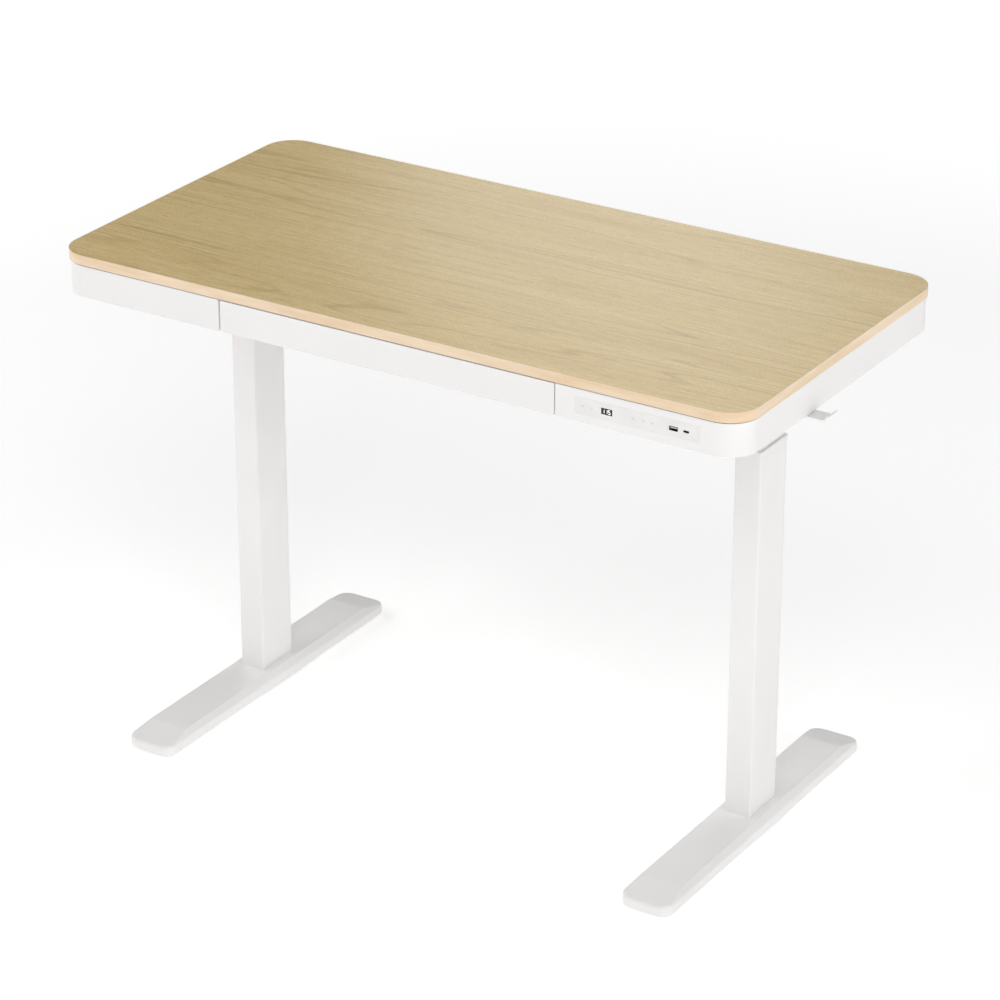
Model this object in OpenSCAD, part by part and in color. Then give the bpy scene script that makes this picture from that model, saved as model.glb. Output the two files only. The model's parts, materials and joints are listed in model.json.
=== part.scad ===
// Height adjustable standing desk with a drawer, a touch panel with USB ports and a side hook.
// Millimetres. X runs along the desk, Y from the front to the back, Z up from the floor.
// The origin is on the floor, below the middle of the worktop.

/* [Worktop] */
// Length of the worktop, edge band included
desk_w = 1200; // [1060:10:1600]
// Depth of the worktop, edge band included
desk_d = 608; // [580:2:800]
// Thickness of the worktop
board_t = 16; // [15:1:30]
// Corner radius of the worktop in plan
corner_r = 50; // [30:1:80]
// Thickness of the edge band
band_t = 1.2; // [0.8:0.1:3]

/* [Height] */
// Worktop height with the desk fully lowered
stow_h = 711.5; // [680:0.5:760]
// How far the desk is raised as stored
raised = 124; // [60:1:300]

/* [Columns] */
// Distance from the end of the worktop to the axis of a column
col_inset = 141.4; // [130:0.1:170]
// Offset of the column axis behind the middle of the worktop
col_y = 18.6; // [0:0.1:40]
// Width of the outer tube, along the desk
tube_w = 45; // [43:0.5:60]
// Depth of the outer tube
tube_d = 82; // [72:0.5:90]
// Corner radius of the outer tube
tube_r = 3; // [3:0.5:8]
// Wall of both tubes
tube_wall = 2; // [1.5:0.1:2.5]
// Wall of the plastic guide sleeve between the tubes
sleeve_wall = 1.7; // [1.2:0.1:2]
// Depth of the guide sleeve inside the outer tube
sleeve_l = 60; // [40:1:62]
// Length of the shoe at the lower end of the inner tube
shoe_l = 40; // [20:1:42]

/* [Feet] */
// Length of a foot
foot_l = 624; // [560:2:760]
// Width of a foot at its base
foot_w = 85; // [80:1:120]
// Width of the flat top of a foot
foot_top_w = 69.2; // [66:0.2:78]
// Height of a foot from its underside to its flat top
foot_h = 25.6; // [22:0.2:40]
// Height of the upright rim round a foot
rim_h = 14.5; // [10:0.5:18]
// Length of the slope at each end of a foot
slope_l = 57; // [30:1:60]
// Corner radius of a foot in plan
foot_r = 20; // [10:1:30]
// Wall of the pressed foot
foot_wall = 3; // [2:0.5:4]
// Height of a levelling glide below the foot
glide_h = 5; // [4:0.5:12]
// Distance of a glide from the end of its foot
glide_inset = 62; // [61:1:90]

/* [Apron] */
// Height of the apron below the worktop, shadow gap included
apron_h = 53.5; // [52:0.5:80]
// Distance of the apron behind the edge of the worktop
apron_inset = 2.5; // [1:0.5:10]
// Wall of the apron
apron_wall = 3; // [2:0.5:4]
// Width of the fixing flange under the worktop
flange_w = 20; // [12:1:30]

/* [Drawer] */
// Width of the drawer front
drawer_w = 585.5; // [400:0.5:600]
// Gap between the drawer front and the pieces beside it
seam = 2.5; // [1.5:0.1:4]
// Thickness of the drawer front
front_t = 12; // [8:1:18]
// Depth of the tray from front to back
tray_d = 256; // [200:1:258]
// Height of the tray
tray_h = 38; // [24:1:38]
// Wall of the tray
tray_wall = 2.5; // [1.5:0.1:4]
// Length and travel of the telescopic slides
slide_l = 250; // [190:1:250]

/* [Touch panel] */
// Width of the touch panel
panel_w = 203; // [195:1:220]
// Height of the touch panel
panel_h = 26; // [20:1:32]
// Thickness of the touch panel
panel_t = 2.5; // [2:0.5:4]
// Distance of the panel's middle from the end of the worktop
panel_inset = 170.5; // [160:0.5:200]
// Width of the display window
display_w = 18.2; // [12:0.2:30]
// Height of the display window
display_h = 9.6; // [6:0.2:14]

/* [Hook] */
// Width of the hook strip
hook_w = 28; // [15:1:60]
// Thickness of the hook strip
hook_t = 2.5; // [1.5:0.5:4]
// Reach of the hook beyond the apron, up to its bend
hook_reach = 23; // [15:1:50]
// Position of the hook behind the front edge of the worktop
hook_back = 212; // [120:1:400]

/* [Drive] */
// Diameter of a leadscrew
screw_d = 16; // [12:0.5:18]
// Size across the flats of the drive shaft
shaft_af = 8; // [6:0.5:9]
// Teeth of each mitre gear
gear_teeth = 16; // [12:4:20]
// Pitch radius of each mitre gear at its large end
gear_r = 13; // [12:0.5:13]

/* [Clearances] */
// Gap between sliding pieces
slide_gap = 0.3; // [0.2:0.05:0.4]
// Radial gap of a shaft in its bore
run_gap = 0.05; // [0.02:0.01:0.1]
// Radial gap of a bolt or screw in its hole
bolt_gap = 0.2; // [0.1:0.05:0.4]

/* [Hidden] */
$fn = 64;
LEFT = -1;
RIGHT = 1;

// Heights
top_z = stow_h + raised;
board_z = top_z - board_t;
bracket_t = 3;
bracket_z = board_z - bracket_t;
gearbox_h = 42;
gearbox_z = bracket_z - gearbox_h;
apron_z = board_z - apron_h;
foot_top = glide_h + foot_h;

// Columns
col_x = desk_w / 2 - col_inset;
stow_clear = 4;
collar_lip = 2;
collar_over = 0.6;
tube_top = gearbox_z - raised - stow_clear - collar_lip;
tube_plate_t = 6;
bore_w = tube_w - 2 * tube_wall;
bore_d = tube_d - 2 * tube_wall;
bore_r = tube_r - tube_wall;
inner_w = bore_w - 2 * sleeve_wall - 2 * slide_gap;
inner_d = bore_d - 2 * sleeve_wall - 2 * slide_gap;
inner_r = 3;
inner_foot_clear = 9.4;
inner_z = foot_top + tube_plate_t + inner_foot_clear + raised;

// Levelling glides
glide_stud_r = 4;
glide_boss_r = 9;
glide_pad_r = 16;

// Lifting screws
base_plate_t = 5;
base_plate_w = 60;
base_plate_d = 112;
base_plate_z = foot_top - foot_wall - base_plate_t;
post_r = 13;
post_wall = 2.5;
nut_h = 40;
nut_r = 15;
nut_drop = 50.5;
nut_z = gearbox_z - raised - nut_drop - nut_h;
screw_end_clear = 6.4;
screw_z = base_plate_z + base_plate_t + screw_end_clear + raised;
journal_r = 6;
bolt_r = 3;
bolt_x = 12.5;
bolt_y = 28;

// Gearboxes and drive shaft
gearbox_w = 66;
gearbox_d = inner_d + 4;
gearbox_wall = 3;
gearbox_floor = 8;
bearing_h = 7;
bearing_r = 13;
shaft_z = gearbox_z + 24;
shaft_r = shaft_af / 2 / cos(30);
shaft_hole_r = shaft_r + run_gap;
tooth_w = 1.3;
tooth_add = 0.9;
tooth_ded = 1.4;
gear_face = 3.5;
gear_hub = 2.5;

// Frame under the worktop
bracket_w = 60;
bracket_d = 500;
bracket_lip = 12;
bracket_fix_y = 170;
rail_d = 22;
rail_h = 30;
rail_wall = 2;
rail_y = col_y - gearbox_d / 2 + rail_d / 2;
rear_rail_y = 222;
rear_rail_h = 25;
fix_r = 1.6;
fix_l = 9;
fix_head_r = 4;
fix_head_h = 2;

// Apron
apron_w = desk_w - 2 * apron_inset;
apron_d = desk_d - 2 * apron_inset;
apron_r = corner_r - apron_inset;
front_y = -apron_d / 2;
shadow_gap = 2.4;
rebate = 1.5;
flange_t = 3.5;
end_x = drawer_w / 2 + seam;
return_d = 15;
back_seam = 0.6;

// Drawer
tray_gap = 4;
tray_z = apron_z + tray_gap;
tray_y = front_y + front_t;
slide_w = 13;
slide_h = 27;
slide_wall = 1.2;
slide_play = 0.4;
hanger_t = 2;
hanger_foot = 12;
tray_w = drawer_w - 2 * (slide_w + hanger_t + hanger_foot) - 2;
tray_side = tray_w / 2;
hanger_x = tray_side + slide_w;
slide_z = tray_z + 17;
slide_y = tray_y + 2;
mat_t = 1.5;

// Touch panel
panel_x = desk_w / 2 - panel_inset;
panel_z = apron_z + apron_h / 2 - 0.25;
panel_fit = 0.1;
display_x = -49.2;
usb_a_x = 59.2;
usb_a_w = 14;
usb_a_h = 6.8;
usb_c_x = 79.5;
usb_c_w = 9.4;
usb_c_h = 3.6;
usb_wall = 0.6;
usb_l = 14;
pcb_t = 1.6;
pcb_y = front_y + usb_l;

// Hook
hook_y = -desk_d / 2 + hook_back;
hook_drop = 2.5;
hook_bend_r = 5;
hook_lean = 35;
hook_lip = 7;
hook_tab_h = 40;
hook_steps = 8;
hook_screw_z = [apron_z + 14, apron_z + 26];

// Power and control
motor_x = 320;
motor_block_w = 52;
motor_block_d = 66;
motor_block_h = 36;
motor_can_r = 19;
motor_can_l = 100;
motor_off = 30;
box_w = 260;
box_d = 80;
box_h = 32;
box_y = 150;
box_wall = 2.5;
jack_block = 14;
jack_r = 3.2;
jack_pin_r = 1.1;
jack_depth = 9;
cable_r = 2.1;
cable_bend = 12;
cable_sides = 8;
cable_steps = 5;
cable_z = board_z - cable_r - 0.3;
panel_cable_x = panel_x - 24.5;

// ---- Shared shapes ----

// A rectangle with round corners, centred on the origin
module round_rect(w, d, r) {
  square([w - 2 * r, d], center = true);
  square([w, d - 2 * r], center = true);
  for (x = [-1, 1], y = [-1, 1]) {
    translate([x * (w / 2 - r), y * (d / 2 - r)]) circle(r = r);
  }
}

// The wall between two round rectangles
module round_ring(w, d, r, wall) {
  difference() {
    round_rect(w, d, r);
    round_rect(w - 2 * wall, d - 2 * wall, max(r - wall, 0.5));
  }
}

// A box centred in X and Y that stands on z
module block(w, d, h, x = 0, y = 0, z = 0) {
  translate([x - w / 2, y - d / 2, z]) cube([w, d, h]);
}

// A closed tube ring from z upwards
module ring(r_out, r_in, h, z) {
  translate([0, 0, z]) linear_extrude(h) difference() {
    circle(r = r_out);
    circle(r = r_in);
  }
}

module at_column(side) {
  translate([side * col_x, col_y, 0]) children();
}

// Bolt positions round a column axis
module at_bolts() {
  for (x = [-1, 1], y = [-1, 1]) {
    translate([x * bolt_x, y * bolt_y, 0]) children();
  }
}

// An outline in the X-Z plane, drawn out along Y
module along_y(length, y) {
  translate([0, y + length, 0]) rotate([90, 0, 0]) linear_extrude(length) children();
}

// ---- Worktop ----

// Screws that hold the brackets and the apron to the board
bracket_fix = [for (s = [LEFT, RIGHT], x = [-1, 1], y = [-1, 1])
  [s * col_x + x * 18, col_y + y * bracket_fix_y]];
apron_fix_y = apron_d / 2 - apron_wall - flange_w / 2;
apron_fix_x = apron_w / 2 - apron_wall - flange_w / 2;
end_fix_x = [end_x + 40, col_x];
apron_fix = concat(
  [for (s = [LEFT, RIGHT], y = [-1, 1], x = end_fix_x) [s * x, y * apron_fix_y]],
  [for (s = [LEFT, RIGHT], y = [-1, 1]) [s * apron_fix_x, y * apron_d / 4]],
  [for (x = [-0.6, 0, 0.6]) [x * end_x, apron_fix_y]]
);

hanger_fix = [for (s = [LEFT, RIGHT], y = [0.2, 0.8])
  [s * (hanger_x + hanger_t + 5), slide_y + y * slide_l]];

module desktop_board() {
  color("burlywood") difference() {
    translate([0, 0, board_z]) linear_extrude(board_t)
      round_rect(desk_w - 2 * band_t, desk_d - 2 * band_t, corner_r - band_t);
    for (p = concat(bracket_fix, apron_fix, hanger_fix)) {
      translate([p[0], p[1], board_z - 1]) cylinder(r = fix_r + bolt_gap, h = fix_l + 1);
    }
  }
}

module edge_band() {
  color("bisque") translate([0, 0, board_z]) linear_extrude(board_t)
    round_ring(desk_w, desk_d, corner_r, band_t);
}

// One screw from below, its head against z
module board_screw(z) {
  translate([0, 0, z - fix_head_h]) cylinder(r = fix_head_r, h = fix_head_h);
  translate([0, 0, z]) cylinder(r = fix_r, h = board_z + fix_l - 0.5 - z);
}

module board_screws() {
  color("silver") {
    for (p = bracket_fix) {
      translate([p[0], p[1], 0]) board_screw(bracket_z);
    }
    for (p = apron_fix) {
      translate([p[0], p[1], 0]) board_screw(board_z - flange_t);
    }
    for (p = hanger_fix) {
      translate([p[0], p[1], 0]) board_screw(board_z - hanger_t);
    }
  }
}

// ---- Apron ----

// Wall and fixing flange of the whole apron, before it is cut into pieces
module apron_ring() {
  difference() {
    union() {
      translate([0, 0, apron_z]) linear_extrude(apron_h - shadow_gap)
        round_ring(apron_w, apron_d, apron_r, apron_wall);
      translate([0, 0, board_z - flange_t]) linear_extrude(flange_t)
        round_ring(apron_w - 2 * rebate, apron_d - 2 * rebate, apron_r - rebate,
          apron_wall - rebate + flange_w);
    }
    for (p = apron_fix) {
      translate([p[0], p[1], apron_z]) cylinder(r = fix_r + bolt_gap, h = apron_h + 1);
    }
  }
}

// One end of the apron, from the drawer seam round to the back seam
module apron_end(side) {
  cut = apron_w;
  intersection() {
    apron_ring();
    block(cut, cut, apron_h, side * (end_x + cut / 2), 0, apron_z);
  }
  for (y = [front_y, -front_y - return_d]) {
    translate([side * (end_x + apron_wall / 2) - apron_wall / 2, y, apron_z])
      cube([apron_wall, return_d, apron_h - shadow_gap]);
  }
}

module apron_left() {
  color("whitesmoke") apron_end(LEFT);
}

module apron_right() {
  color("whitesmoke") difference() {
    apron_end(RIGHT);
    block(panel_w + 2 * panel_fit, 2 * apron_wall + 2, panel_h + 2 * panel_fit,
      panel_x, front_y, panel_z - panel_h / 2 - panel_fit);
    for (z = hook_screw_z) {
      translate([apron_w / 2 - apron_wall - 1, hook_y, z]) rotate([0, 90, 0])
        cylinder(r = fix_r + bolt_gap, h = apron_wall);
    }
  }
}

module apron_back() {
  color("whitesmoke") intersection() {
    apron_ring();
    block(2 * (end_x - back_seam), desk_d, apron_h, 0, desk_d / 2, apron_z);
  }
}

// ---- Frame under the worktop ----

module side_bracket(side) {
  color("lightgray") at_column(side) difference() {
    union() {
      block(bracket_w, bracket_d, bracket_t, 0, 0, bracket_z);
      for (x = [-1, 1]) {
        block(bracket_t, bracket_d, bracket_lip, x * (bracket_w - bracket_t) / 2, 0, bracket_z - bracket_lip);
      }
    }
    block(gearbox_w + 2, gearbox_d + 10, bracket_lip + 1, 0, 0, bracket_z - bracket_lip - 1);
    for (p = bracket_fix) {
      translate([p[0] - side * col_x, p[1] - col_y, bracket_z - 1])
        cylinder(r = fix_r + bolt_gap, h = bracket_t + 2);
    }
    block(bracket_w + 2, rail_d + 8, bracket_lip + 1, 0, rear_rail_y - col_y, bracket_z - bracket_lip - 1);
  }
}

// A rectangular tube that lies along X
module rail(length, d, h, y, z) {
  difference() {
    block(length, d, h, 0, y, z);
    block(length + 2, d - 2 * rail_wall, h - 2 * rail_wall, 0, y, z + rail_wall);
  }
}

module cross_rails() {
  color("lightgray") {
    rail(2 * col_x - gearbox_w, rail_d, rail_h, rail_y, shaft_z - rail_h / 2);
    rail(2 * col_x + bracket_w - 10, rail_d, rear_rail_h, rear_rail_y, bracket_z - rear_rail_h);
  }
}

module gearbox(side) {
  color("darkgray") at_column(side) difference() {
    block(gearbox_w, gearbox_d, gearbox_h, 0, 0, gearbox_z);
    block(gearbox_w - 2 * gearbox_wall, gearbox_d - 2 * gearbox_wall,
      gearbox_h - gearbox_wall - gearbox_floor, 0, 0, gearbox_z + gearbox_floor);
    translate([0, 0, gearbox_z + gearbox_floor - bearing_h]) cylinder(r = bearing_r, h = bearing_h + 1);
    translate([0, 0, gearbox_z - 1]) cylinder(r = screw_d / 2 + 0.6, h = gearbox_floor);
    translate([-gearbox_w / 2 - 1, 0, shaft_z]) rotate([0, 90, 0])
      cylinder(r = shaft_hole_r, h = gearbox_wall + 2);
    translate([gearbox_w / 2 - gearbox_wall - 1, 0, shaft_z]) rotate([0, 90, 0])
      cylinder(r = shaft_hole_r, h = gearbox_wall + 2);
  }
}

module spindle_bearings() {
  color("silver") for (side = [LEFT, RIGHT]) {
    at_column(side) ring(bearing_r, journal_r + run_gap, bearing_h, gearbox_z + gearbox_floor - bearing_h);
  }
}

// ---- Columns ----

module inner_tube(side) {
  color("white") at_column(side) translate([0, 0, inner_z]) linear_extrude(gearbox_z - inner_z)
    round_ring(inner_w, inner_d, inner_r, tube_wall);
}

module tube_shoe(side) {
  color("dimgray") at_column(side) translate([0, 0, inner_z]) linear_extrude(shoe_l) difference() {
    round_rect(bore_w - 2 * slide_gap, bore_d - 2 * slide_gap, bore_r);
    round_rect(inner_w, inner_d, inner_r);
  }
}

module outer_tube(side) {
  color("white") at_column(side) {
    translate([0, 0, foot_top]) linear_extrude(tube_top - foot_top)
      round_ring(tube_w, tube_d, tube_r, tube_wall);
    translate([0, 0, foot_top]) linear_extrude(tube_plate_t) difference() {
      round_rect(bore_w, bore_d, bore_r);
      circle(r = post_r);
      for (x = [-1, 1], y = [-1, 1]) {
        translate([x * bolt_x, y * bolt_y]) circle(r = bolt_r + bolt_gap);
      }
    }
  }
}

module guide_collar(side) {
  sleeve_w = bore_w - 2 * sleeve_wall;
  sleeve_d = bore_d - 2 * sleeve_wall;
  color("gainsboro") at_column(side) {
    translate([0, 0, tube_top - sleeve_l]) linear_extrude(sleeve_l) difference() {
      round_rect(bore_w, bore_d, bore_r);
      round_rect(sleeve_w, sleeve_d, inner_r + slide_gap);
    }
    translate([0, 0, tube_top]) linear_extrude(collar_lip) difference() {
      round_rect(tube_w + 2 * collar_over, tube_d + 2 * collar_over, tube_r + collar_over);
      round_rect(sleeve_w, sleeve_d, inner_r + slide_gap);
    }
  }
}

// ---- Feet ----

// Outer form of a foot: an upright rim, sloping ends and bevelled shoulders
module foot_form(l, w, top_w, h, rim, slope, r) {
  intersection() {
    rotate([90, 0, 90]) translate([0, 0, -w]) linear_extrude(2 * w) polygon([
      [-l / 2, 0], [l / 2, 0], [l / 2, rim], [l / 2 - slope, h], [-l / 2 + slope, h], [-l / 2, rim]
    ]);
    along_y(2 * l, -l) polygon([
      [-w / 2, 0], [w / 2, 0], [w / 2, rim], [top_w / 2, h], [-top_w / 2, h], [-w / 2, rim]
    ]);
    linear_extrude(2 * h) round_rect(w, l, r);
  }
}

module foot(side) {
  glide_y = foot_l / 2 - glide_inset;
  color("white") translate([side * col_x, 0, glide_h]) difference() {
    union() {
      difference() {
        foot_form(foot_l, foot_w, foot_top_w, foot_h, rim_h, slope_l, foot_r);
        translate([0, 0, -foot_wall]) foot_form(foot_l - 2 * foot_wall, foot_w - 2 * foot_wall,
          foot_top_w - 2 * foot_wall, foot_h, rim_h, slope_l - foot_wall, foot_r - foot_wall);
      }
      for (y = [-1, 1]) {
        translate([0, y * glide_y, 0]) cylinder(r = glide_boss_r, h = foot_h - foot_wall);
      }
    }
    for (y = [-1, 1]) {
      translate([0, y * glide_y, -1]) cylinder(r = glide_stud_r + run_gap, h = foot_h - foot_wall);
    }
    translate([0, col_y, 0]) {
      cylinder(r = post_r, h = foot_h + 1);
      at_bolts() cylinder(r = bolt_r + bolt_gap, h = foot_h + 1);
    }
  }
}

module base_plate(side) {
  color("silver") at_column(side) difference() {
    block(base_plate_w, base_plate_d, base_plate_t, 0, 0, base_plate_z);
    at_bolts() translate([0, 0, base_plate_z - 1]) cylinder(r = bolt_r + bolt_gap, h = base_plate_t + 2);
  }
}

module foot_bolts(side) {
  head_h = 4;
  color("silver") at_column(side) at_bolts() {
    translate([0, 0, base_plate_z - head_h]) cylinder(r = 5.77, h = head_h, $fn = 6);
    translate([0, 0, base_plate_z]) cylinder(r = bolt_r, h = foot_top + tube_plate_t - base_plate_z);
  }
}

// A levelling glide: a rubber-shod pad on a threaded stud
module glide(side, end) {
  pad_h = glide_h - slide_gap;
  color("dimgray") translate([side * col_x, end * (foot_l / 2 - glide_inset), 0]) {
    rotate_extrude() polygon([
      [0, 0], [glide_pad_r - 1, 0], [glide_pad_r, 1], [glide_pad_r, pad_h - 1.5],
      [glide_pad_r - 4, pad_h], [0, pad_h]
    ]);
    translate([0, 0, pad_h - 1]) cylinder(r = glide_stud_r, h = foot_h - foot_wall - 3);
  }
}

// ---- Lifting screws ----

module spindle_post(side) {
  color("silver") at_column(side)
    ring(post_r, post_r - post_wall, nut_z - base_plate_z - base_plate_t, base_plate_z + base_plate_t);
}

module spindle_nut(side) {
  color("ivory") at_column(side) {
    ring(nut_r, screw_d / 2 + run_gap, nut_h, nut_z);
    ring(post_r - post_wall, screw_d / 2 + run_gap, 12, nut_z - 12);
  }
}

module leadscrew(side) {
  shoulder_z = gearbox_z + gearbox_floor - bearing_h - slide_gap;
  gear_top = shaft_z - gear_r + gear_face;
  color("silver") at_column(side) {
    translate([0, 0, screw_z]) cylinder(r1 = screw_d / 2 - 1, r2 = screw_d / 2, h = 1);
    translate([0, 0, screw_z + 1]) cylinder(r = screw_d / 2, h = shoulder_z - screw_z - 1);
    translate([0, 0, shoulder_z]) cylinder(r = journal_r, h = gear_top - shoulder_z);
  }
}

// ---- Mitre gears and drive shaft ----

// A mitre gear on the Z axis whose cone apex is at the origin and whose large end is below it
module mitre_gear(turn) {
  large = gear_r - tooth_ded;
  small = large - gear_face;
  face = gear_face * sqrt(2);
  tooth_h = (tooth_add + tooth_ded) / sqrt(2) + 0.6;
  translate([0, 0, -gear_r]) {
    cylinder(r1 = large, r2 = small, h = gear_face);
    translate([0, 0, -gear_hub]) cylinder(r = 9, h = gear_hub);
    for (k = [0 : gear_teeth - 1]) {
      rotate([0, 0, turn + k * 360 / gear_teeth]) translate([large, 0, 0]) rotate([0, -45, 0])
        translate([-0.6, -tooth_w / 2, 0.3]) cube([tooth_h, tooth_w, face - 0.6]);
    }
  }
}

module spindle_gear(side) {
  color("goldenrod") at_column(side) difference() {
    translate([0, 0, shaft_z]) mitre_gear(180 / gear_teeth);
    translate([0, 0, gearbox_z]) cylinder(r = journal_r, h = gearbox_h);
  }
}

module shaft_gears() {
  color("goldenrod") for (side = [LEFT, RIGHT]) {
    at_column(side) difference() {
      translate([0, 0, shaft_z]) rotate([0, -90, 0]) mitre_gear(0);
      translate([0, 0, shaft_z]) rotate([0, 90, 0]) cylinder(r = shaft_r, h = 50, $fn = 6);
    }
  }
}

module drive_shaft() {
  end = gear_r + gear_hub;
  color("silver") translate([-col_x + gear_r - gear_face, col_y, shaft_z]) rotate([0, 90, 0])
    cylinder(r = shaft_r, h = 2 * col_x + end - gear_r + gear_face, $fn = 6);
}

// ---- Motor, control box and wiring ----

module gear_motor() {
  can_z = shaft_z - 1.5;
  block_y = rail_y + rail_d / 2 + motor_block_d / 2;
  color("dimgray") {
    difference() {
      block(motor_block_w, motor_block_d, motor_block_h, motor_x, block_y, shaft_z - motor_block_h / 2);
      translate([motor_x - motor_block_w, col_y, shaft_z]) rotate([0, 90, 0])
        cylinder(r = shaft_hole_r, h = 2 * motor_block_w);
    }
    translate([motor_x - motor_block_w / 2 - motor_can_l, col_y + motor_off, can_z]) rotate([0, 90, 0])
      cylinder(r = motor_can_r, h = motor_can_l);
    translate([motor_x - motor_block_w / 2 - motor_can_l - 4, col_y + motor_off, can_z])
      rotate([0, 90, 0]) cylinder(r = 8, h = 4);
  }
}

module control_box() {
  z = board_z - box_h;
  color("darkslategray") difference() {
    block(box_w, box_d, box_h, 0, box_y, z);
    block(box_w - 2 * box_wall, box_d - 2 * box_wall, box_h - 2 * box_wall, 0, box_y, z + box_wall);
    block(box_wall + 1, jack_block, jack_block, -box_w / 2 + box_wall / 2, box_y,
      z + box_h / 2 - jack_block / 2);
  }
}

// Round low-voltage socket with a centre pin, in the left end of the control box
module power_inlet() {
  color("black") translate([-box_w / 2 - 1, box_y, board_z - box_h / 2]) rotate([0, 90, 0]) {
    difference() {
      translate([-jack_block / 2, -jack_block / 2, 0]) cube([jack_block, jack_block, jack_depth + 3]);
      translate([0, 0, -1]) cylinder(r = jack_r, h = jack_depth + 1);
    }
    cylinder(r = jack_pin_r, h = jack_depth + 1);
  }
}

function unit(v) = v / norm(v);

// Points of a route whose right-angled corners are rounded to radius r
function bend(a, b, c, r) =
  let (u = unit(b - a), v = unit(c - b))
  [for (k = [0 : cable_steps]) let (t = 90 * k / cable_steps)
    b - u * r + v * r + r * (u * sin(t) - v * cos(t))];
function smooth_route(p, r) = [
  p[0],
  for (i = [1 : len(p) - 2]) each bend(p[i - 1], p[i], p[i + 1], r),
  p[len(p) - 1]
];
function heading(p, i) = unit(p[min(i + 1, len(p) - 1)] - p[max(i - 1, 0)]);

// A round cable swept along a route by one closed mesh
module cable(p, r) {
  n = cable_sides;
  m = len(p);
  rings = [for (i = [0 : m - 1])
    let (t = heading(p, i), u = unit(cross(t, [1, 1, 1])), w = cross(t, u))
    each [for (k = [0 : n - 1]) p[i] + r * (u * cos(360 * k / n) + w * sin(360 * k / n))]];
  sides = [for (i = [0 : m - 2], k = [0 : n - 1])
    [i * n + k, i * n + (k + 1) % n, (i + 1) * n + (k + 1) % n, (i + 1) * n + k]];
  caps = [[for (k = [0 : n - 1]) n - 1 - k], [for (k = [0 : n - 1]) (m - 1) * n + k]];
  polyhedron(points = rings, faces = concat(sides, caps));
}

module motor_cable() {
  x = motor_x - motor_block_w / 2 - motor_can_l - 4;
  y = col_y + motor_off;
  color("black") cable(smooth_route([
    [x, y, shaft_z - 1.5], [x - 20, y, shaft_z - 1.5], [x - 20, y, cable_z],
    [x - 20, box_y - 20, cable_z], [box_w / 2 + 20, box_y - 20, cable_z],
    [box_w / 2 + 20, box_y - 20, cable_z - 26], [box_w / 2, box_y - 20, cable_z - 26]
  ], 8), cable_r);
}

module panel_cable() {
  x = panel_cable_x;
  y = pcb_y + pcb_t;
  color("black") cable(smooth_route([
    [x, y, panel_z - 4], [x, y + cable_bend, panel_z - 4], [x, y + cable_bend, cable_z],
    [x, box_y + 20, cable_z], [box_w / 2 + 20, box_y + 20, cable_z],
    [box_w / 2 + 20, box_y + 20, cable_z - 18], [box_w / 2, box_y + 20, cable_z - 18]
  ], 8), cable_r);
}

// ---- Touch panel ----

module control_panel() {
  color("white") difference() {
    block(panel_w, panel_t, panel_h, panel_x, front_y + panel_t / 2, panel_z - panel_h / 2);
    block(display_w, panel_t + 2, display_h, panel_x + display_x, front_y + panel_t / 2,
      panel_z - display_h / 2);
    block(usb_a_w, panel_t + 2, usb_a_h, panel_x + usb_a_x, front_y + panel_t / 2, panel_z - usb_a_h / 2);
    translate([panel_x + usb_c_x, front_y - 1, panel_z]) rotate([-90, 0, 0]) linear_extrude(panel_t + 2)
      round_rect(usb_c_w, usb_c_h, usb_c_h / 2 - 0.1);
  }
}

module display_window() {
  color("black") block(display_w, panel_t, display_h, panel_x + display_x, front_y + panel_t / 2,
    panel_z - display_h / 2);
}

module panel_board() {
  color("darkgreen") block(panel_w - 12, pcb_t, panel_h - 6, panel_x, pcb_y + pcb_t / 2,
    panel_z - panel_h / 2 + 3);
}

module usb_a_shell() {
  color("silver") translate([panel_x + usb_a_x, front_y, panel_z]) difference() {
    block(usb_a_w, usb_l, usb_a_h, 0, usb_l / 2, -usb_a_h / 2);
    block(usb_a_w - 2 * usb_wall, usb_l, usb_a_h - 2 * usb_wall, 0, usb_l / 2 - usb_wall,
      -usb_a_h / 2 + usb_wall);
  }
}

module usb_c_shell() {
  inner = usb_c_h - 2 * usb_wall;
  color("silver") translate([panel_x + usb_c_x, front_y, panel_z]) rotate([-90, 0, 0]) difference() {
    linear_extrude(usb_l) round_rect(usb_c_w, usb_c_h, usb_c_h / 2 - 0.1);
    translate([0, 0, -usb_wall]) linear_extrude(usb_l)
      round_rect(usb_c_w - 2 * usb_wall, inner, inner / 2 - 0.1);
  }
}

module usb_tongues() {
  depth = usb_l - usb_wall - 0.5;
  color("dimgray") translate([panel_x, front_y + usb_l - usb_wall - depth / 2, panel_z]) {
    block(usb_a_w - 3, depth, 1.9, usb_a_x, 0, 0.2);
    block(usb_c_w - 3, depth, 0.7, usb_c_x, 0, -0.35);
  }
}

// ---- Hook ----

// Points on an arc round a centre in the X-Z plane
function arc(c, r, from, to) =
  [for (k = [0 : hook_steps]) let (t = from + (to - from) * k / hook_steps) c + r * [cos(t), sin(t)]];

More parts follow.
